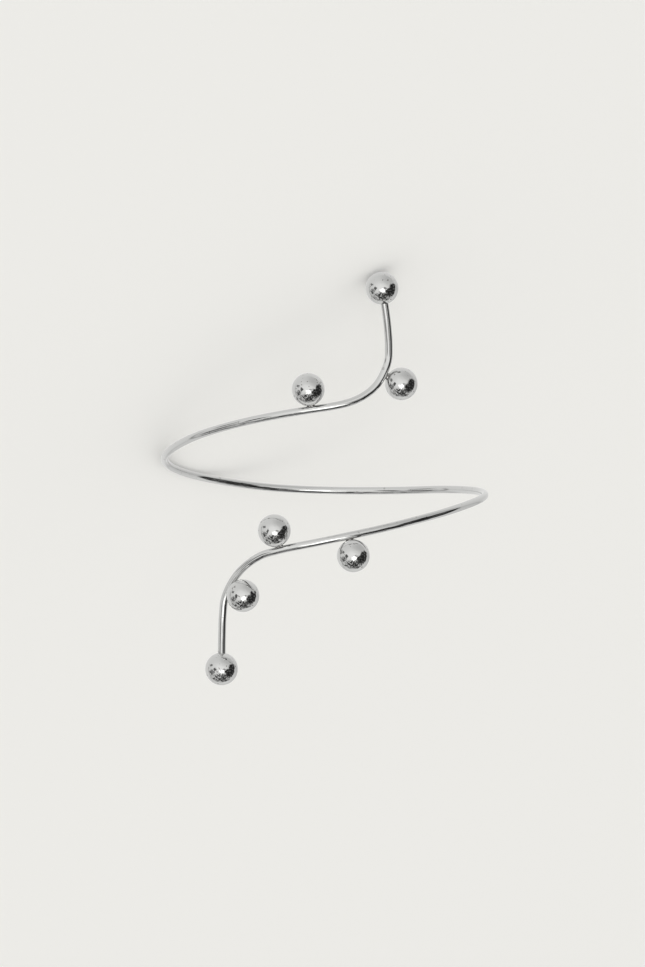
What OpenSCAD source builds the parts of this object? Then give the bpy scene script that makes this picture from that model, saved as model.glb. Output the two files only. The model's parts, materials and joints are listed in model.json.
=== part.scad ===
// Upper arm cuff: one springy round wire wound a turn and a bit round the arm, with its two ends bent along the arm.
// Each end carries a hollow ball, drilled and pushed on. Five more hollow balls are soldered to the wire's sides.
// All sizes are in millimetres. +Z is up and the floor is Z = 0, on which the cuff stands by itself.

/* [Wire] */
// Diameter of the wire
wire_d = 1.9; // [1.7:0.1:2.2]
// Diameter inside the turn, which goes round the arm
arm_d = 78; // [72:1:86]
// Sides of the wire's cross-section
wire_sides = 16; // [8:2:20]
// Longest step along the wire from one ring of corners to the next
ring_step = 1.8; // [1.2:0.1:3]

/* [Balls] */
// Diameter of every ball
ball_d = 8; // [7:0.5:9]
// Thickness of a hollow ball's wall
ball_wall = 0.25; // [0.2:0.05:0.5]
// Depth that the wire's ends reach into the end balls
tip_depth = 3; // [1.5:0.5:3.5]
// Gap all round the wire in an end ball's hole
hole_gap = 0.06; // [0.04:0.01:0.1]
// Diameter of the solder neck between a side ball and the wire
solder_d = 1.8; // [1.4:0.1:2]

/* [Rest] */
// Turn of the cuff about the arm's axis as it stands
rest_turn = 48; // [35:0.1:55]
// Lean of the arm's axis from upright as it stands
rest_lean = 33.2; // [28:0.1:38]

/* [Hidden] */

wire_r = wire_d / 2;
// The wire's many-sided section has the area of the round one, so its corners stand out a little.
corner_r = wire_r * sqrt(2 * PI / (wire_sides * sin(360 / wire_sides)));
ball_r = ball_d / 2;
coil_r = arm_d / 2 + wire_r;
mm_per_degree = coil_r * PI / 180;
round_fn = 64;

// The wire's middle line on the arm's cylinder, from the end that stands on the floor to the raised end.
// Columns: angle from the front round to the right, height along the arm's axis.
WIRE = [
    [-20.7, -46.6], [-21.6, -43.0], [-22.5, -38.5], [-23.0, -33.5], [-22.8, -30.2], [-21.3, -27.2],
    [-18.2, -23.8], [-13.7, -21.3], [-8.5, -19.7], [-2.9, -18.8], [5.6, -17.9], [25, -15.6],
    [48, -12.3], [70, -8.8], [92, -5.7], [115, -3.0], [138, -0.7], [161, 1.1],
    [184, 1.8], [207, 1.8], [230, 1.5], [253, 1.9], [275, 3.1], [297, 5.1],
    [320, 8.1], [343, 11.5], [363, 14.4], [377, 16.4], [382.2, 17.4], [387.3, 19.3],
    [391.8, 21.8], [395.4, 24.9], [397.9, 28.4], [398.7, 32.4], [399.0, 37.0], [399.2, 44.4],
];

// The balls on the wire's sides.
// Columns: distance along the wire, side (1 above, -1 below), gap to the wire that solder fills, lean outwards.
SIDE_BALLS = [
    [20.3, 1, 0.3, 0],
    [41.1, -1, 0.05, 11],
    [285.7, 1, 0.05, 9],
    [302.9, -1, 0.05, 15],
    [319.1, 1, 0.05, 7],
];

// A smooth curve through the stations, laid out flat: millimetres round the arm, millimetres along it.
flat = [for (row = WIRE) [row[0] * mm_per_degree, row[1]]];
last = len(flat) - 1;
chords = [for (i = [0 : last - 1]) norm(flat[i + 1] - flat[i])];

function chord_slope(i) = (flat[i + 1] - flat[i]) / chords[i];

// Slope of the curve at a station: of its two chords, the shorter one counts for more.
function station_slope(i) =
    i == 0 ? chord_slope(0) :
    i == last ? chord_slope(last - 1) :
    (chord_slope(i - 1) * chords[i] + chord_slope(i) * chords[i - 1]) / (chords[i - 1] + chords[i]);

function between(i, u) =
    flat[i] * (2 * u * u * u - 3 * u * u + 1)
    + station_slope(i) * chords[i] * (u * u * u - 2 * u * u + u)
    + flat[i + 1] * (3 * u * u - 2 * u * u * u)
    + station_slope(i + 1) * chords[i] * (u * u * u - u * u);

function on_arm(q) =
    let (angle = q[0] / mm_per_degree)
    [coil_r * sin(angle), -coil_r * cos(angle), q[1]];

function unit(v) = v / norm(v);

path = [
    for (i = [0 : last - 1])
        let (steps = ceil(chords[i] / ring_step))
        for (k = [0 : steps - 1]) on_arm(between(i, k / steps)),
    on_arm(flat[last]),
];
path_end = len(path) - 1;

function along(i) = unit(path[min(i + 1, path_end)] - path[max(i - 1, 0)]);
function outward(p) = unit([p[0], p[1], 0]);
function upward(i) = unit(cross(outward(path[i]), along(i)));

// Distance along the wire to each point of the path
lengths = [
    for (i = 0, d = 0; i <= path_end; d = d + (i < path_end ? norm(path[i + 1] - path[i]) : 0), i = i + 1) d,
];

function step_at(d) = max([for (i = [0 : path_end - 1]) if (lengths[i] <= d) i]);

// Where a side ball's middle is, and where the wire's middle is beside it
function seat(row) =
    let (i = step_at(row[0]))
    path[i] + along(i) * (row[0] - lengths[i]);
function side_ball(row) =
    let (i = step_at(row[0]))
    let (reach = wire_r + row[2] + ball_r)
    seat(row) + reach * (row[1] * cos(row[3]) * upward(i) + sin(row[3]) * outward(path[i]));

// The end balls sit on straight tips, in line with them.
tip_to_middle = ball_r - tip_depth;
foot_middle = path[0] - unit(path[1] - path[0]) * tip_to_middle;
tip_middle = path[path_end] + unit(path[path_end] - path[path_end - 1]) * tip_to_middle;

// The turn and lean of the standing cuff, and the shift that puts the middle of its box's base at the origin
function stood(p) =
    let (x = p[0] * cos(rest_turn) - p[1] * sin(rest_turn))
    let (y = p[0] * sin(rest_turn) + p[1] * cos(rest_turn))
    [x, y * cos(rest_lean) + p[2] * sin(rest_lean), p[2] * cos(rest_lean) - y * sin(rest_lean)];

stood_path = [for (p = path) stood(p)];
stood_balls = [
    for (row = SIDE_BALLS) stood(side_ball(row)),
    stood(foot_middle),
    stood(tip_middle),
];

function low(axis) = min(min([for (p = stood_path) p[axis] - corner_r]), min([for (p = stood_balls) p[axis] - ball_r]));
function high(axis) = max(max([for (p = stood_path) p[axis] + corner_r]), max([for (p = stood_balls) p[axis] + ball_r]));

base = [(low(0) + high(0)) / 2, (low(1) + high(1)) / 2, low(2)];

module stand() {
    translate(-base) rotate([-rest_lean, 0, 0]) rotate([0, 0, rest_turn]) children();
}

// Turns a shape's +Z to the direction v and sets it at p
module aim(p, v) {
    translate(p) rotate([0, acos(unit(v)[2]), atan2(v[1], v[0])]) children();
}

module wire() {
    corners = [
        for (i = [0 : path_end])
            let (up = upward(i))
            let (out = unit(cross(along(i), up)))
            for (k = [0 : wire_sides - 1])
                let (a = 360 * k / wire_sides)
                path[i] + corner_r * (cos(a) * out + sin(a) * up),
    ];
    sides = [
        for (i = [0 : path_end - 1])
            for (k = [0 : wire_sides - 1])
                let (n = (k + 1) % wire_sides)
                let (a = i * wire_sides)
                let (b = a + wire_sides)
                for (face = [[a + k, b + n, b + k], [a + k, a + n, b + n]]) face,
    ];
    first_cap = [for (k = [wire_sides - 1 : -1 : 0]) k];
    last_cap = [for (k = [0 : wire_sides - 1]) path_end * wire_sides + k];
    polyhedron(points = corners, faces = concat([first_cap], sides, [last_cap]));
}

// What is soldered on at a side ball: the ball with a short neck down to the wire's middle, turned round one axis
module soldered_ball(row) {
    reach = norm(side_ball(row) - seat(row));
    aim(seat(row), side_ball(row) - seat(row)) rotate_extrude($fn = round_fn) union() {
        intersection() {
            translate([0, reach]) circle(r = ball_r, $fn = round_fn);
            translate([0, reach - ball_r]) square([ball_r, ball_d]);
        }
        square([solder_d / 2, reach]);
    }
}

module coil() {
    color("silver") stand() difference() {
        union() {
            wire();
            for (row = SIDE_BALLS) soldered_ball(row);
        }
        for (row = SIDE_BALLS) aim(side_ball(row), side_ball(row) - seat(row))
            sphere(r = ball_r - ball_wall, $fn = round_fn);
    }
}

// A hollow ball with a hole for the wire, which comes out of it along v
module end_ball(middle, v) {
    color("silver") stand() aim(middle, v) difference() {
        sphere(r = ball_r, $fn = round_fn);
        sphere(r = ball_r - ball_wall, $fn = round_fn);
        cylinder(r = wire_r + hole_gap, h = ball_d, $fn = round_fn);
    }
}

module foot_ball() {
    end_ball(foot_middle, path[0] - foot_middle);
}

module tip_ball() {
    end_ball(tip_middle, path[path_end] - tip_middle);
}

coil();
foot_ball();
tip_ball();
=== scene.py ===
"""Dresses the upper arm cuff: its polished wire, the balls on its tips and sides, and their solder."""
import json
import math

import bmesh
import bpy
from mathutils import Matrix, Vector


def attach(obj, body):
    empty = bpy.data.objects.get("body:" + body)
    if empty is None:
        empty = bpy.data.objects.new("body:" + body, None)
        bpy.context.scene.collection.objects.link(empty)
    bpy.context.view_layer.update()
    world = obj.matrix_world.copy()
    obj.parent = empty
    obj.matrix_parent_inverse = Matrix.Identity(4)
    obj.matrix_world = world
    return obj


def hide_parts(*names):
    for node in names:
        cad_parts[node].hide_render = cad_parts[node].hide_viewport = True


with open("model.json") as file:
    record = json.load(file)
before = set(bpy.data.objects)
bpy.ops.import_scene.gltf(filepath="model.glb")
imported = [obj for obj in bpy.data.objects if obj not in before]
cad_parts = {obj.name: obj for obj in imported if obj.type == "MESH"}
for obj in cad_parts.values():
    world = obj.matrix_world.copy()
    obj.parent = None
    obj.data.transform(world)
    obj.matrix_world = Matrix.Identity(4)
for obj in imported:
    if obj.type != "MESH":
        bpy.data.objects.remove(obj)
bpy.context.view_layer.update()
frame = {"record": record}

MM = 0.001

# Sizes of the cuff, as its solids have them
WIRE_RADIUS = 0.95 * MM
COIL_RADIUS = 39.95 * MM
BALL_RADIUS = 4 * MM
BALL_WALL = 0.25 * MM
TIP_DEPTH = 3 * MM
HOLE_GAP = 0.06 * MM
REST_TURN = math.radians(48)
REST_LEAN = math.radians(33.2)

# The wire's middle line on the arm's cylinder, from the end that stands on the floor to the raised end.
# Columns: angle from the front round to the right in degrees, height along the arm's axis in millimetres.
WIRE = (
    (-20.7, -46.6), (-21.6, -43.0), (-22.5, -38.5), (-23.0, -33.5), (-22.8, -30.2), (-21.3, -27.2),
    (-18.2, -23.8), (-13.7, -21.3), (-8.5, -19.7), (-2.9, -18.8), (5.6, -17.9), (25, -15.6),
    (48, -12.3), (70, -8.8), (92, -5.7), (115, -3.0), (138, -0.7), (161, 1.1),
    (184, 1.8), (207, 1.8), (230, 1.5), (253, 1.9), (275, 3.1), (297, 5.1),
    (320, 8.1), (343, 11.5), (363, 14.4), (377, 16.4), (382.2, 17.4), (387.3, 19.3),
    (391.8, 21.8), (395.4, 24.9), (397.9, 28.4), (398.7, 32.4), (399.0, 37.0), (399.2, 44.4),
)

# The balls on the wire's sides. Lengths are in millimetres.
# Columns: distance along the wire, side (1 above, -1 below), gap that solder fills, lean outwards in degrees,
# half the solder's length along the wire.
SIDE_BALLS = (
    (20.3, 1, 0.3, 0, 0.95),
    (41.1, -1, 0.05, 11, 1.15),
    (285.7, 1, 0.05, 9, 1.15),
    (302.9, -1, 0.05, 15, 1.15),
    (319.1, 1, 0.05, 7, 1.3),
)

# Small forms: the rounded rim of a drilled ball, and a solder neck's half width, waist and seat
RIM = 0.06 * MM
NECK_HALF_WIDTH = 0.62 * MM
NECK_WAIST = 0.62
NECK_SINK = 0.03 * MM

# How far polishing leaves the balls from round, and how many swells there are to a metre
UNEVENNESS = 0.02 * MM
SWELLS = 350.0

# How finely the smooth pieces are cut
PATH_STEP = 0.5 * MM
WIRE_SIDES = 40
BALL_CUTS = 6
LATHE_TURNS = 128
OUTSIDE_CUTS = 90
RIM_CUTS = 5
INSIDE_CUTS = 40
NECK_TURNS = 48
NECK_RISE = 10

# Finishes
POLISHED = (0.70, 0.70, 0.695)
# Dark colour of the pits, also used as painted shade in the ring where a ball meets the wire
PIT_AND_SEAT_SHADE = (0.28, 0.27, 0.26)
NICK = (0.40, 0.39, 0.38)
SOLDER_LIGHT = (0.60, 0.59, 0.58)
SOLDER_DARK = (0.17, 0.165, 0.16)
BOARD = (0.918, 0.917, 0.912)
BOARD_LIGHT = (0.928, 0.927, 0.922)
BUMP_DEPTH = 0.03 * MM
SOLDER_BUMP_DEPTH = 0.12 * MM

# The photograph's camera: the focal length and the picture's height in pixels, the sensor's in millimetres
CAMERA_DISTANCE = 1500 * MM
CAMERA_ASIDE = 0.55 * MM
FOCAL_PIXELS = 6000
IMAGE_HEIGHT = 967
SENSOR_HEIGHT = 36

# The studio
FLOOR_HALF = 6
BACKDROP = (0.839, 0.831, 0.799)
LAMP_SPREAD = math.radians(30)
LAMP_POWER = 0.7

# The room that the polished metal shows, laid out as on a mirror ball, where across and up run from -1 to 1.
# Each patch of it is an oval. Columns: middle, reach, how ragged its edge is, how soft its edge is,
# its strength, and what its flecks add to that, where it has any.
GREY_WALL = ((0.45, 0.5), (0.4, 0.35), 0, 0.7, 0.15)
LIGHT_WALL = ((-0.55, 0.45), (0.4, 0.4), 0, 0.7, 0.06)
GLOW = ((-0.02, 0.0), (0.40, 0.32), 0, 0.8, 0.28)
WINDOW = ((0.02, -0.16), (0.125, 0.115), 2.2, 0.35, 1.8)
CORNER = ((0.65, -0.04), (0.24, 0.34), 0.9, 0.15, 1)
CORNER_FOOT = ((0.46, -0.24), (0.27, 0.26), 1.2, 0.15, 1)
STREAK = ((0.18, -0.02), (0.14, 0.05), 2.5, 0.15, 0.7)
LOW_CLUTTER = ((0.0, -0.52), (0.56, 0.28), 1.8, 0.2, 0.15, 0.83)
LOW_SHADE = ((0.09, -0.58), (0.16, 0.18), 1.2, 0.3, 0.70, 0.25)
LEFT_CLUTTER = ((-0.57, -0.21), (0.15, 0.16), 1.8, 0.3, 0.45, 0.50)
UPPER_SPOT = ((-0.61, 0.21), (0.08, 0.07), 1.5, 0.15, 0.75)
INNER_SPOT = ((-0.41, -0.02), (0.09, 0.09), 1.5, 0.15, 0.9)
FAR_SHADE = ((0.85, -0.1), (0.45, 0.7), 0, 0.5, 0.08)
WALL_TONE = 0.71
FAR_WALL_TONE = 0.80
DARKEST_TONE = 0.012
WALLS_END = 0.79


# The wire's path and what sits on it


def stations_laid_flat():
    """The stations as points on the unrolled cylinder: metres round the arm, metres along it."""
    return [Vector((math.radians(angle) * COIL_RADIUS, height * MM)) for angle, height in WIRE]


def on_arm(flat):
    angle = flat[0] / COIL_RADIUS
    return Vector((COIL_RADIUS * math.sin(angle), -COIL_RADIUS * math.cos(angle), flat[1]))


def smooth_path(step):
    """Points of a smooth curve through the stations, on the arm's cylinder."""
    flat = stations_laid_flat()
    spans = [(b - a).length for a, b in zip(flat, flat[1:])]
    chords = [(b - a) / span for a, b, span in zip(flat, flat[1:], spans)]
    slopes = [chords[0]]
    for i in range(1, len(chords)):
        slopes.append((chords[i - 1] * spans[i] + chords[i] * spans[i - 1]) / (spans[i - 1] + spans[i]))
    slopes.append(chords[-1])
    points = []
    for i, span in enumerate(spans):
        cuts = math.ceil(span / step)
        for k in range(cuts):
            u = k / cuts
            ease = 3 * u**2 - 2 * u**3
            points.append(on_arm(
                flat[i] * (1 - ease) + slopes[i] * span * (u**3 - 2 * u**2 + u)
                + flat[i + 1] * ease + slopes[i + 1] * span * (u**3 - u**2)))
    points.append(on_arm(flat[-1]))
    return points


class Path:
    """The wire's middle line, asked for by distance from the end that stands on the floor."""

    def __init__(self, points):
        self.points = points
        self.lengths = [0.0]
        for a, b in zip(points, points[1:]):
            self.lengths.append(self.lengths[-1] + (b - a).length)

    def step_at(self, distance):
        last = len(self.points) - 2
        return min(last, max(0, sum(1 for length in self.lengths if length <= distance) - 1))

    def at(self, distance):
        i = self.step_at(distance)
        return self.points[i] + self.direction(i) * (distance - self.lengths[i])

    def direction(self, i):
        after, before = min(i + 1, len(self.points) - 1), max(i - 1, 0)
        return (self.points[after] - self.points[before]).normalized()

    def axes(self, distance):
        """Directions along the wire, away from the arm and up the arm."""
        i = self.step_at(distance)
        along = self.direction(i)
        outward = Vector((self.points[i].x, self.points[i].y, 0)).normalized()
        return along, outward, outward.cross(along).normalized()


def stand_matrix():
    """Carries the arm's own frame into the standing cuff's. The record says where the arm passes through."""
    arm = next(m for m in frame["record"]["mounts"] if m["name"] == "arm")
    return (Matrix.Translation(Vector(arm["pos_m"])) @ Matrix.Rotation(-REST_LEAN, 4, "X")
            @ Matrix.Rotation(REST_TURN, 4, "Z"))


STAND = stand_matrix()
PATH = Path(smooth_path(PATH_STEP))


def side_ball_middle(row):
    distance, side, gap, lean = row[0] * MM, row[1], row[2] * MM, math.radians(row[3])
    _, outward, upward = PATH.axes(distance)
    reach = WIRE_RADIUS + gap + BALL_RADIUS
    return PATH.at(distance) + reach * (side * math.cos(lean) * upward + math.sin(lean) * outward)


# Node trees


class Number:
    """A number socket. Arithmetic on it adds Math nodes to its tree."""

    def __init__(self, maker, socket):
        self.maker, self.socket = maker, socket

    def _math(self, operation, *values):
        return self.maker.number("ShaderNodeMath", {"operation": operation}, dict(enumerate(values)))

    def __add__(self, other):
        return self._math("ADD", self, other)

    __radd__ = __add__

    def __sub__(self, other):
        return self._math("SUBTRACT", self, other)

    def __rsub__(self, other):
        return self._math("SUBTRACT", other, self)

    def __mul__(self, other):
        return self._math("MULTIPLY", self, other)

    __rmul__ = __mul__

    def __truediv__(self, other):
        return self._math("DIVIDE", self, other)

    def __rtruediv__(self, other):
        return self._math("DIVIDE", other, self)

    def root(self):
        return self._math("SQRT", self)

    def size(self):
        return self._math("ABSOLUTE", self)

    def least(self, other):
        return self._math("MINIMUM", self, other)

    def most(self, other):
        return self._math("MAXIMUM", self, other)

    def sine(self):
        return self._math("SINE", self)

    def cosine(self):
        return self._math("COSINE", self)

    def rises(self, start, end):
        """0 below start, 1 above end, smooth between."""
        return self.maker.number(
            "ShaderNodeMapRange", {"interpolation_type": "SMOOTHSTEP"},
            {"Value": self, "From Min": start, "From Max": end})


class Maker:
    """Adds nodes to one tree."""

    def __init__(self, tree):
        self.tree = tree

    def node(self, kind, settings=None, sockets=None):
        """A node of a type, with its settings and then the values or links of its sockets."""
        made = self.tree.nodes.new(kind)
        for name, value in (settings or {}).items():
            setattr(made, name, value)
        for name, value in (sockets or {}).items():
            source = getattr(value, "socket", value)
            if isinstance(source, bpy.types.NodeSocket):
                self.tree.links.new(source, made.inputs[name])
            else:
                made.inputs[name].default_value = source
        return made

    def number(self, kind, settings=None, sockets=None, output=0):
        return Number(self, self.node(kind, settings, sockets).outputs[output])


def geometry_tree(name, inputs):
    """A Geometry Nodes tree with named inputs. Each is a name, a socket type and a value."""
    tree = bpy.data.node_groups.new(name, "GeometryNodeTree")
    tree.interface.new_socket("Geometry", in_out="INPUT", socket_type="NodeSocketGeometry")
    for label, kind, value in inputs:
        socket = tree.interface.new_socket(label, in_out="INPUT", socket_type=kind)
        if value is not None:
            socket.default_value = value
    tree.interface.new_socket("Geometry", in_out="OUTPUT", socket_type="NodeSocketGeometry")
    return tree, Maker(tree)


def finish_tree(maker, geometry, material):
    """Ends a tree with smooth shading, Realize Instances and Set Material."""
    smooth = maker.node("GeometryNodeSetShadeSmooth", None, {"Geometry": geometry})
    real = maker.node("GeometryNodeRealizeInstances", None, {"Geometry": smooth.outputs[0]})
    painted = maker.node("GeometryNodeSetMaterial", None, {
        "Geometry": real.outputs[0], "Material": material})
    maker.node("NodeGroupOutput", None, {"Geometry": painted.outputs[0]})


def run_tree(obj, tree, values):
    """Runs a tree on an object and leaves its result as a plain mesh."""
    modifier = obj.modifiers.new(tree.name, "NODES")
    modifier.node_group = tree
    sockets = {s.name: s.identifier for s in tree.interface.items_tree if s.in_out == "INPUT"}
    for name, value in values.items():
        modifier[sockets[name]] = value
    bpy.context.view_layer.update()
    evaluated = obj.evaluated_get(bpy.context.evaluated_depsgraph_get())
    mesh = bpy.data.meshes.new_from_object(evaluated)
    obj.modifiers.remove(modifier)
    obj.data = mesh
    return obj


def new_object(name, vertices, edges=(), faces=()):
    mesh = bpy.data.meshes.new(name)
    mesh.from_pydata([tuple(v) for v in vertices], list(edges), list(faces))
    mesh.update()
    obj = bpy.data.objects.new(name, mesh)
    bpy.context.scene.collection.objects.link(obj)
    return obj


def uneven(maker, geometry, depth, swells):
    """Lets a surface rise and fall a little along its normals."""
    rise = maker.number("ShaderNodeTexNoise", None, {"Scale": swells, "Detail": 1.0, "Roughness": 0.4})
    push = (rise - 0.5) * depth
    normal = maker.node("GeometryNodeInputNormal")
    offset = maker.node(
        "ShaderNodeVectorMath", {"operation": "SCALE"}, {"Vector": normal.outputs[0], "Scale": push})
    return maker.node(
        "GeometryNodeSetPosition", None, {"Geometry": geometry, "Offset": offset.outputs[0]}).outputs[0]


# Materials


def new_material(name):
    material = bpy.data.materials.new(name)
    material.use_nodes = True
    material.node_tree.nodes.clear()
    return material, Maker(material.node_tree)


def finish_material(maker, sockets):
    shader = maker.node("ShaderNodeBsdfPrincipled", None, sockets)
    maker.node("ShaderNodeOutputMaterial", None, {"Surface": shader.outputs[0]})


def noise(maker, place, scale, detail=2.0, seed=0.0):
    return maker.number(
        "ShaderNodeTexNoise", {"noise_dimensions": "4D"},
        {"Vector": place, "Scale": scale, "Detail": detail, "W": seed})


def mixed(maker, amount, first, second):
    """Mixes two colours. Its node has them at sockets 6 and 7, and the result at output 2."""
    first, second = ((*colour, 1) if isinstance(colour, tuple) else colour for colour in (first, second))
    return maker.node("ShaderNodeMix", {"data_type": "RGBA"}, {
        "Factor": amount, 6: first, 7: second}).outputs[2]


def bumped(maker, height, distance):
    return maker.node("ShaderNodeBump", None, {
        "Height": height, "Distance": distance, "Strength": 1.0}).outputs[0]


def ball_metal():
    """Polished ball: wavy and finely dimpled, with pits, and a dull ring where it meets the wire whose colour
    is darkened as painted shade at the joint.
    """
    material, maker = new_material("polished_ball")
    place = maker.node("ShaderNodeTexCoord").outputs["Object"]
    waves = noise(maker, place, 420, 1.0, 2.0)
    dimples = noise(maker, place, 1300, 1.5, 7.0)
    grain = noise(maker, place, 2600, 2.0, 5.0)
    pits = noise(maker, place, 1500, 0.0, 8.0).rises(0.725, 0.775)
    nearness = maker.number("ShaderNodeAttribute", {"attribute_name": "toward_wire"}, output=2)
    # Painted shade: a ring where the ball meets the wire, darkened in colour and also made rougher
    dull_seat_painted_shade = nearness.rises(0.93, 0.985) * noise(maker, place, 1200, 2.0, 1.0).rises(0.35, 0.6)
    finish_material(maker, {
        "Base Color": mixed(maker, (dull_seat_painted_shade * 0.35 + pits * 0.8).least(1.0), POLISHED, PIT_AND_SEAT_SHADE),
        "Metallic": 1.0,
        "Roughness": 0.01 + grain * 0.02 + dull_seat_painted_shade * 0.25,
        "Normal": bumped(maker, waves * 0.7 + dimples * 1.5 + grain * 0.15 - pits * 0.12, BUMP_DEPTH),
    })
    return material


def wire_metal():
    """Drawn wire, polished: long fine lines and a few nicks."""
    material, maker = new_material("polished_wire")
    along = maker.number("ShaderNodeAttribute", {"attribute_name": "along"}, output=2)
    around = maker.number("ShaderNodeAttribute", {"attribute_name": "around"}, output=2)
    place = maker.node("ShaderNodeTexCoord").outputs["Object"]
    turned = around * (2 * math.pi)
    ring = maker.node("ShaderNodeCombineXYZ", None, {
        "X": turned.sine() * 3, "Y": turned.cosine() * 3, "Z": along * 60}).outputs[0]
    lines = noise(maker, ring, 3.0, 3.0, 1.0)
    waves = noise(maker, place, 260, 1.0, 3.0)
    nicks = noise(maker, place, 900, 0.0, 6.0).rises(0.74, 0.78)
    finish_material(maker, {
        "Base Color": mixed(maker, nicks * 0.5, POLISHED, NICK),
        "Metallic": 1.0,
        "Roughness": 0.015 + lines * 0.04,
        "Normal": bumped(maker, waves * 0.5 + lines * 0.08 - nicks * 0.3, BUMP_DEPTH),
    })
    return material


def solder_metal():
    """Solder: darker, lumpier and duller than the polished metal beside it."""
    material, maker = new_material("solder")
    place = maker.node("ShaderNodeTexCoord").outputs["Object"]
    lumps = noise(maker, place, 2200, 2.0, 4.0)
    finish_material(maker, {
        "Base Color": mixed(maker, lumps.rises(0.42, 0.58), SOLDER_LIGHT, SOLDER_DARK),
        "Metallic": 1.0,
        "Roughness": 0.08 + lumps * 0.16,
        "Normal": bumped(maker, lumps, SOLDER_BUMP_DEPTH),
    })
    return material


def floor_paint():
    """Matt pale board with a faint, slow change of tone."""
    material, maker = new_material("pale_floor")
    place = maker.node("ShaderNodeTexCoord").outputs["Object"]
    colour = mixed(maker, noise(maker, place, 3.0), BOARD, BOARD_LIGHT)
    finish_material(maker, {"Base Color": colour, "Roughness": 0.9})
    return material


# The pieces


def stored(maker, geometry, name, value):
    """Keeps a number for each point under a name, for the finish to read."""
    return maker.node("GeometryNodeStoreNamedAttribute", {"data_type": "FLOAT", "domain": "POINT"}, {
        "Geometry": geometry, "Name": name, "Value": value}).outputs[0]


def wire_tree():
    """Sweeps a circle along the object's line, marked along it and around it."""
    tree, maker = geometry_tree("round_wire", (
        ("Radius", "NodeSocketFloat", WIRE_RADIUS),
        ("Sides", "NodeSocketInt", WIRE_SIDES),
        ("Material", "NodeSocketMaterial", None),
    ))
    given = maker.node("NodeGroupInput").outputs
    line = maker.node("GeometryNodeMeshToCurve", None, {"Mesh": given["Geometry"]})
    circle = maker.node("GeometryNodeCurvePrimitiveCircle", None, {
        "Resolution": given["Sides"], "Radius": given["Radius"]})
    place = maker.node("GeometryNodeSplineParameter").outputs
    swept = maker.node("GeometryNodeCurveToMesh", None, {
        "Curve": stored(maker, line.outputs[0], "along", place["Length"]),
        "Profile Curve": stored(maker, circle.outputs[0], "around", place["Factor"]),
        "Fill Caps": True})
    finish_tree(maker, swept.outputs[0], given["Material"])
    return tree


def make_wire(material):
    points = [STAND @ p for p in PATH.points]
    wire = new_object("wire", points, [(i, i + 1) for i in range(len(points) - 1)])
    return run_tree(wire, wire_tree(), {"Radius": WIRE_RADIUS, "Sides": WIRE_SIDES, "Material": material})


def ball_tree():
    """Balls on points, each turned with its pole to the wire, and a little uneven."""
    tree, maker = geometry_tree("soldered_balls", (
        ("Radius", "NodeSocketFloat", BALL_RADIUS),
        ("Cuts", "NodeSocketInt", BALL_CUTS),
        ("Unevenness", "NodeSocketFloat", UNEVENNESS),
        ("Swells", "NodeSocketFloat", SWELLS),
        ("Material", "NodeSocketMaterial", None),
    ))
    given = maker.node("NodeGroupInput").outputs
    ball = maker.node("GeometryNodeMeshIcoSphere", None, {
        "Radius": given["Radius"], "Subdivisions": given["Cuts"]})
    facing = maker.node("ShaderNodeSeparateXYZ", None, {
        "Vector": maker.node("GeometryNodeInputNormal").outputs[0]}).outputs["Z"]
    axis = maker.node("GeometryNodeInputNamedAttribute", {"data_type": "FLOAT_VECTOR"}, {"Name": "axis"})
    turn = maker.node("FunctionNodeAlignRotationToVector", {"axis": "Z"}, {
        "Vector": axis.outputs["Attribute"]})
    placed = maker.node("GeometryNodeInstanceOnPoints", None, {
        "Points": given["Geometry"], "Instance": stored(maker, ball.outputs["Mesh"], "toward_wire", facing),
        "Rotation": turn.outputs[0]})
    real = maker.node("GeometryNodeRealizeInstances", None, {"Geometry": placed.outputs[0]})
    surface = uneven(maker, real.outputs[0], given["Unevenness"], given["Swells"])
    finish_tree(maker, surface, given["Material"])
    return tree


def make_side_balls(material):
    middles = [side_ball_middle(row) for row in SIDE_BALLS]
    balls = new_object("side_balls", [STAND @ m for m in middles])
    axes = balls.data.attributes.new("axis", "FLOAT_VECTOR", "POINT")
    for i, (row, middle) in enumerate(zip(SIDE_BALLS, middles)):
        toward = PATH.at(row[0] * MM) - middle
        axes.data[i].vector = (STAND.to_3x3() @ toward).normalized()
    return run_tree(balls, ball_tree(), {"Material": material})


def hollow_ball_profile():
    """Half the section of a hollow ball whose hole faces +Z: pairs of distance from the axis and height."""
    hole = WIRE_RADIUS + HOLE_GAP
    inner = BALL_RADIUS - BALL_WALL

    def arc(radius, start, end, cuts):
        angles = (start + (end - start) * k / cuts for k in range(cuts + 1))
        return [(radius * math.sin(a), radius * math.cos(a)) for a in angles]

    outside = arc(BALL_RADIUS, math.pi, math.asin((hole + RIM) / BALL_RADIUS), OUTSIDE_CUTS)
    top = outside[-1][1]
    rounded = [(hole + RIM - across, top - RIM + up)
               for across, up in arc(RIM, math.radians(15), math.radians(90), RIM_CUTS)]
    inside = arc(inner, math.asin(hole / inner), math.pi, INSIDE_CUTS)
    return outside + rounded + inside


def lathe(profile, turns):
    """Vertices and faces of a closed shape turned round Z. The profile starts and ends on the axis."""
    vertices = [Vector((0, 0, profile[0][1]))]
    rings = profile[1:-1]
    for radius, height in rings:
        for k in range(turns):
            a = 2 * math.pi * k / turns
            vertices.append(Vector((radius * math.cos(a), radius * math.sin(a), height)))
    vertices.append(Vector((0, 0, profile[-1][1])))
    first, last = 0, len(vertices) - 1
    faces = [(first, 1 + (k + 1) % turns, 1 + k) for k in range(turns)]
    for r in range(len(rings) - 1):
        a, b = 1 + r * turns, 1 + (r + 1) * turns
        for k in range(turns):
            n = (k + 1) % turns
            faces.append((a + k, a + n, b + n, b + k))
    end = 1 + (len(rings) - 1) * turns
    faces += [(end + k, end + (k + 1) % turns, last) for k in range(turns)]
    return vertices, faces


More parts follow.
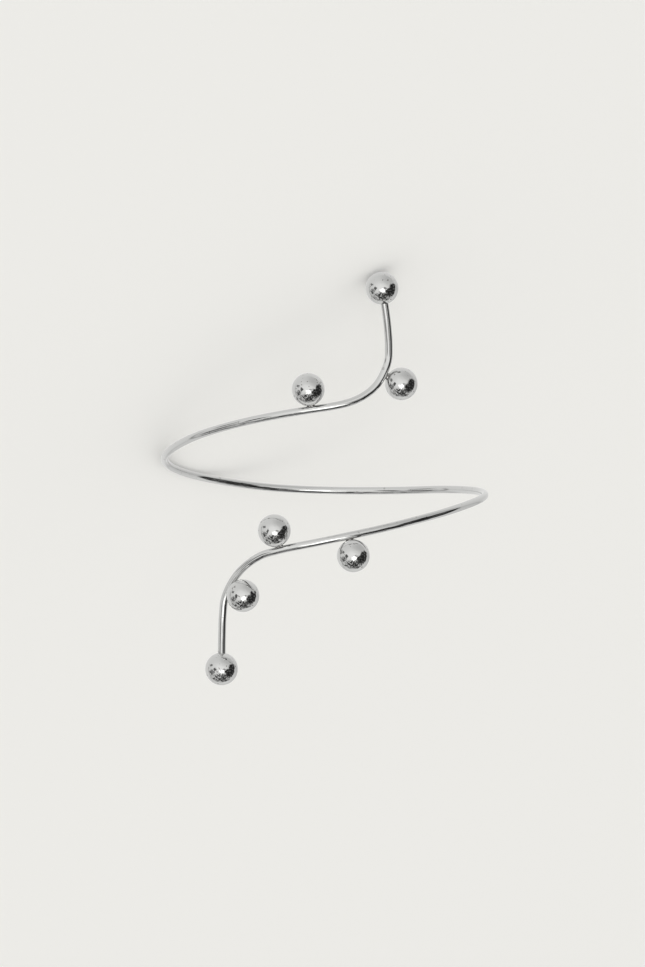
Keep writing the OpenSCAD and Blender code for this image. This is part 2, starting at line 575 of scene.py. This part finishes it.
def surface_tree():
    tree, maker = geometry_tree("end_ball_surface", (
        ("Unevenness", "NodeSocketFloat", UNEVENNESS),
        ("Swells", "NodeSocketFloat", SWELLS),
        ("Material", "NodeSocketMaterial", None),
    ))
    given = maker.node("NodeGroupInput").outputs
    surface = uneven(maker, given["Geometry"], given["Unevenness"], given["Swells"])
    finish_tree(maker, surface, given["Material"])
    return tree


def make_end_ball(name, tip, toward, tree, material):
    """A hollow ball pushed on the wire's tip. toward points from the tip back along the wire."""
    middle = tip - toward * (BALL_RADIUS - TIP_DEPTH)
    place = STAND @ Matrix.Translation(middle) @ toward.to_track_quat("Z", "Y").to_matrix().to_4x4()
    vertices, faces = lathe(hollow_ball_profile(), LATHE_TURNS)
    ball = new_object(name, [place @ v for v in vertices], (), faces)
    mark = ball.data.attributes.new("toward_wire", "FLOAT", "POINT")
    for i, v in enumerate(vertices):
        mark.data[i].value = v.z / v.length if v.length > BALL_RADIUS - BALL_WALL / 2 else 0.0
    return run_tree(ball, tree, {"Material": material})


def neck_point(row, turn, rise):
    """A point on a solder neck's side: turn round it, and rise from the wire (0) to the ball (1)."""
    distance, gap, half_length = row[0] * MM, row[2] * MM, row[4] * MM
    seat, middle = PATH.at(distance), side_ball_middle(row)
    to_ball = (middle - seat).normalized()
    along, _, _ = PATH.axes(distance)
    sideways = to_ball.cross(along).normalized()
    x, y = half_length * math.cos(turn), NECK_HALF_WIDTH * math.sin(turn)
    on_wire = math.sqrt(WIRE_RADIUS**2 - y**2) - NECK_SINK
    on_ball = math.sqrt(BALL_RADIUS**2 - x**2 - y**2) - NECK_SINK
    low = PATH.at(distance + x) + sideways * y + to_ball * on_wire
    high = middle + along * x + sideways * y - to_ball * on_ball
    pinch = seat + (along * x + sideways * y) * NECK_WAIST + to_ball * (WIRE_RADIUS + gap / 2)
    return STAND @ (low * (1 - rise)**2 + pinch * 2 * rise * (1 - rise) + high * rise**2)


def make_solder(material):
    """A pinched neck at each side ball, closed inside the wire and inside the ball."""
    vertices, faces = [], []
    for row in SIDE_BALLS:
        start = len(vertices)
        for level in range(NECK_RISE + 1):
            for k in range(NECK_TURNS):
                vertices.append(neck_point(row, 2 * math.pi * k / NECK_TURNS, level / NECK_RISE))
        for level in range(NECK_RISE):
            a, b = start + level * NECK_TURNS, start + (level + 1) * NECK_TURNS
            for k in range(NECK_TURNS):
                n = (k + 1) % NECK_TURNS
                faces.append((a + k, a + n, b + n, b + k))
        faces.append(tuple(start + k for k in reversed(range(NECK_TURNS))))
        top = start + NECK_RISE * NECK_TURNS
        faces.append(tuple(top + k for k in range(NECK_TURNS)))
    solder = new_object("solder", vertices, (), faces)
    work = bmesh.new()
    work.from_mesh(solder.data)
    bmesh.ops.triangulate(work, faces=[f for f in work.faces if len(f.verts) > 4])
    bmesh.ops.recalc_face_normals(work, faces=work.faces)
    work.to_mesh(solder.data)
    work.free()
    for polygon in solder.data.polygons:
        polygon.use_smooth = True
    solder.data.materials.append(material)
    return solder


# The studio


def camera_axes():
    """Directions in the standing cuff's frame: the photograph's right, its top, and towards the camera."""
    turn = STAND.to_3x3()
    return turn @ Vector((-1, 0, 0)), turn @ Vector((0, 0, -1)), turn @ Vector((0, -1, 0))


def make_camera():
    right, top, toward = camera_axes()
    camera = bpy.data.objects.new("camera", bpy.data.cameras.new("camera"))
    bpy.context.scene.collection.objects.link(camera)
    aim = STAND.translation - right * CAMERA_ASIDE
    axes = Matrix((right, top, toward)).transposed().to_4x4()
    camera.matrix_world = Matrix.Translation(aim + toward * CAMERA_DISTANCE) @ axes
    camera.data.sensor_fit = "VERTICAL"
    camera.data.sensor_height = SENSOR_HEIGHT
    camera.data.lens = SENSOR_HEIGHT * FOCAL_PIXELS / IMAGE_HEIGHT
    camera.data.clip_start, camera.data.clip_end = 0.05, 50
    bpy.context.scene.camera = camera


def make_floor():
    corners = [(x * FLOOR_HALF, y * FLOOR_HALF, 0) for x, y in ((-1, -1), (1, -1), (1, 1), (-1, 1))]
    floor = new_object("floor", corners, (), [(0, 1, 2, 3)])
    floor.data.materials.append(floor_paint())
    floor.visible_glossy = False


class View:
    """The directions round the cuff, laid out as on a mirror ball beside it."""

    def __init__(self, maker):
        direction = maker.node("ShaderNodeTexCoord").outputs["Generated"]
        right, top, toward = (
            maker.number("ShaderNodeVectorMath", {"operation": "DOT_PRODUCT"},
                         {0: direction, 1: axis}, output="Value")
            for axis in camera_axes())
        # The hair over 1 keeps the stretch above nothing straight behind the cuff.
        stretch = (2 * (1.0001 + toward)).root()
        self.across, self.up = right / stretch, top / stretch
        self.radius = (self.across * self.across + self.up * self.up).root()
        self.height = maker.number("ShaderNodeSeparateXYZ", None, {"Vector": direction}, output="Z")
        place = maker.node("ShaderNodeCombineXYZ", None, {"X": self.across, "Y": self.up}).outputs[0]
        self.fine = noise(maker, place, 11.0, 2.0, 3.0)
        self.flecked = self.fine.rises(0.46, 0.50)
        self.frayed = noise(maker, place, 9.0, 3.0, 1.0) - 0.5 + (self.fine - 0.5) * 0.8

    def patch(self, middle, reach, ragged, soft, strength, flecks=0):
        """An oval's strength inside it, more in its flecks, and 0 outside it."""
        x, y = (self.across - middle[0]) / reach[0], (self.up - middle[1]) / reach[1]
        away = (x * x + y * y).root() + self.frayed * ragged
        inside = 1 - away.rises(1 - soft, 1 + soft)
        return inside * (strength + self.flecked * flecks)


def near_room(view):
    """Pale walls with a dark corner, clutter below and at the left, and a thin dark line where they end."""
    wall = WALL_TONE - view.patch(*GREY_WALL) + view.patch(*LIGHT_WALL) + view.patch(*GLOW)
    corner = view.patch(*CORNER).most(view.patch(*CORNER_FOOT)).most(view.patch(*STREAK))
    dark = corner * (1 - view.fine.rises(0.52, 0.60) * 0.16)
    for clutter in (LOW_CLUTTER, LOW_SHADE, LEFT_CLUTTER, UPPER_SPOT, INNER_SPOT):
        dark = dark.most(view.patch(*clutter))
    low_left = 1 - (view.across + view.up * 1.4).rises(-0.5, -0.2)
    edge_line = (1 - (view.radius - WALLS_END).size().rises(0.0, 0.03)) * low_left * 0.55
    return wall * (1 - dark.most(edge_line)) + DARKEST_TONE + view.fine * 0.02


def far_room(view):
    """Behind the cuff: the pale floor, a line of shade along its far edge, and a wall, lighter higher up."""
    wall = FAR_WALL_TONE - 0.08 * view.height.rises(-0.02, 0.04) + 0.12 * view.height.rises(0.1, 0.8)
    floor_edge = 1 - (view.height - 0.02).size().rises(0.02, 0.10)
    return wall - 0.12 * floor_edge - view.patch(*FAR_SHADE)


def make_room():
    """The polished metal shows the room. The floor and the camera see a plain pale backdrop instead."""
    world = bpy.data.worlds.new("room")
    bpy.context.scene.world = world
    world.use_nodes = True
    world.node_tree.nodes.clear()
    maker = Maker(world.node_tree)
    view = View(maker)
    far = view.radius.rises(WALLS_END - 0.005, WALLS_END + 0.035)
    seen = near_room(view) * (1 - far) + far_room(view) * far + view.patch(*WINDOW)
    shown = maker.node("ShaderNodeCombineColor", None, {"Red": seen, "Green": seen, "Blue": seen * 0.985})
    in_metal = maker.node("ShaderNodeLightPath").outputs["Is Glossy Ray"]
    tone = mixed(maker, in_metal, BACKDROP, shown.outputs[0])
    shine = maker.node("ShaderNodeBackground", None, {"Color": tone, "Strength": 1.0})
    maker.node("ShaderNodeOutputWorld", None, {"Surface": shine.outputs[0]})


def make_soft_light():
    """Soft light from the camera's side, for faint shadows. The metal doesn't show it."""
    light = bpy.data.lights.new("soft_light", "SUN")
    light.angle, light.energy = LAMP_SPREAD, LAMP_POWER
    lamp = bpy.data.objects.new("soft_light", light)
    lamp.rotation_euler = camera_axes()[2].to_track_quat("Z", "Y").to_euler()
    lamp.visible_glossy = False
    bpy.context.scene.collection.objects.link(lamp)


def dress():
    ball, wire_finish, joint = ball_metal(), wire_metal(), solder_metal()
    wire = make_wire(wire_finish)
    side_balls = make_side_balls(ball)
    solder = make_solder(joint)
    tree = surface_tree()
    points = PATH.points
    foot = make_end_ball("foot_ball_shell", points[0], (points[1] - points[0]).normalized(), tree, ball)
    tip = make_end_ball("tip_ball_shell", points[-1], (points[-2] - points[-1]).normalized(), tree, ball)
    for piece in (wire, side_balls, solder, foot, tip):
        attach(piece, "root")
    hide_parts("coil")
    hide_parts("foot_ball")
    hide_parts("tip_ball")


dress()
make_camera()
make_floor()
make_room()
make_soft_light()
bpy.context.scene.view_settings.view_transform = "Standard"
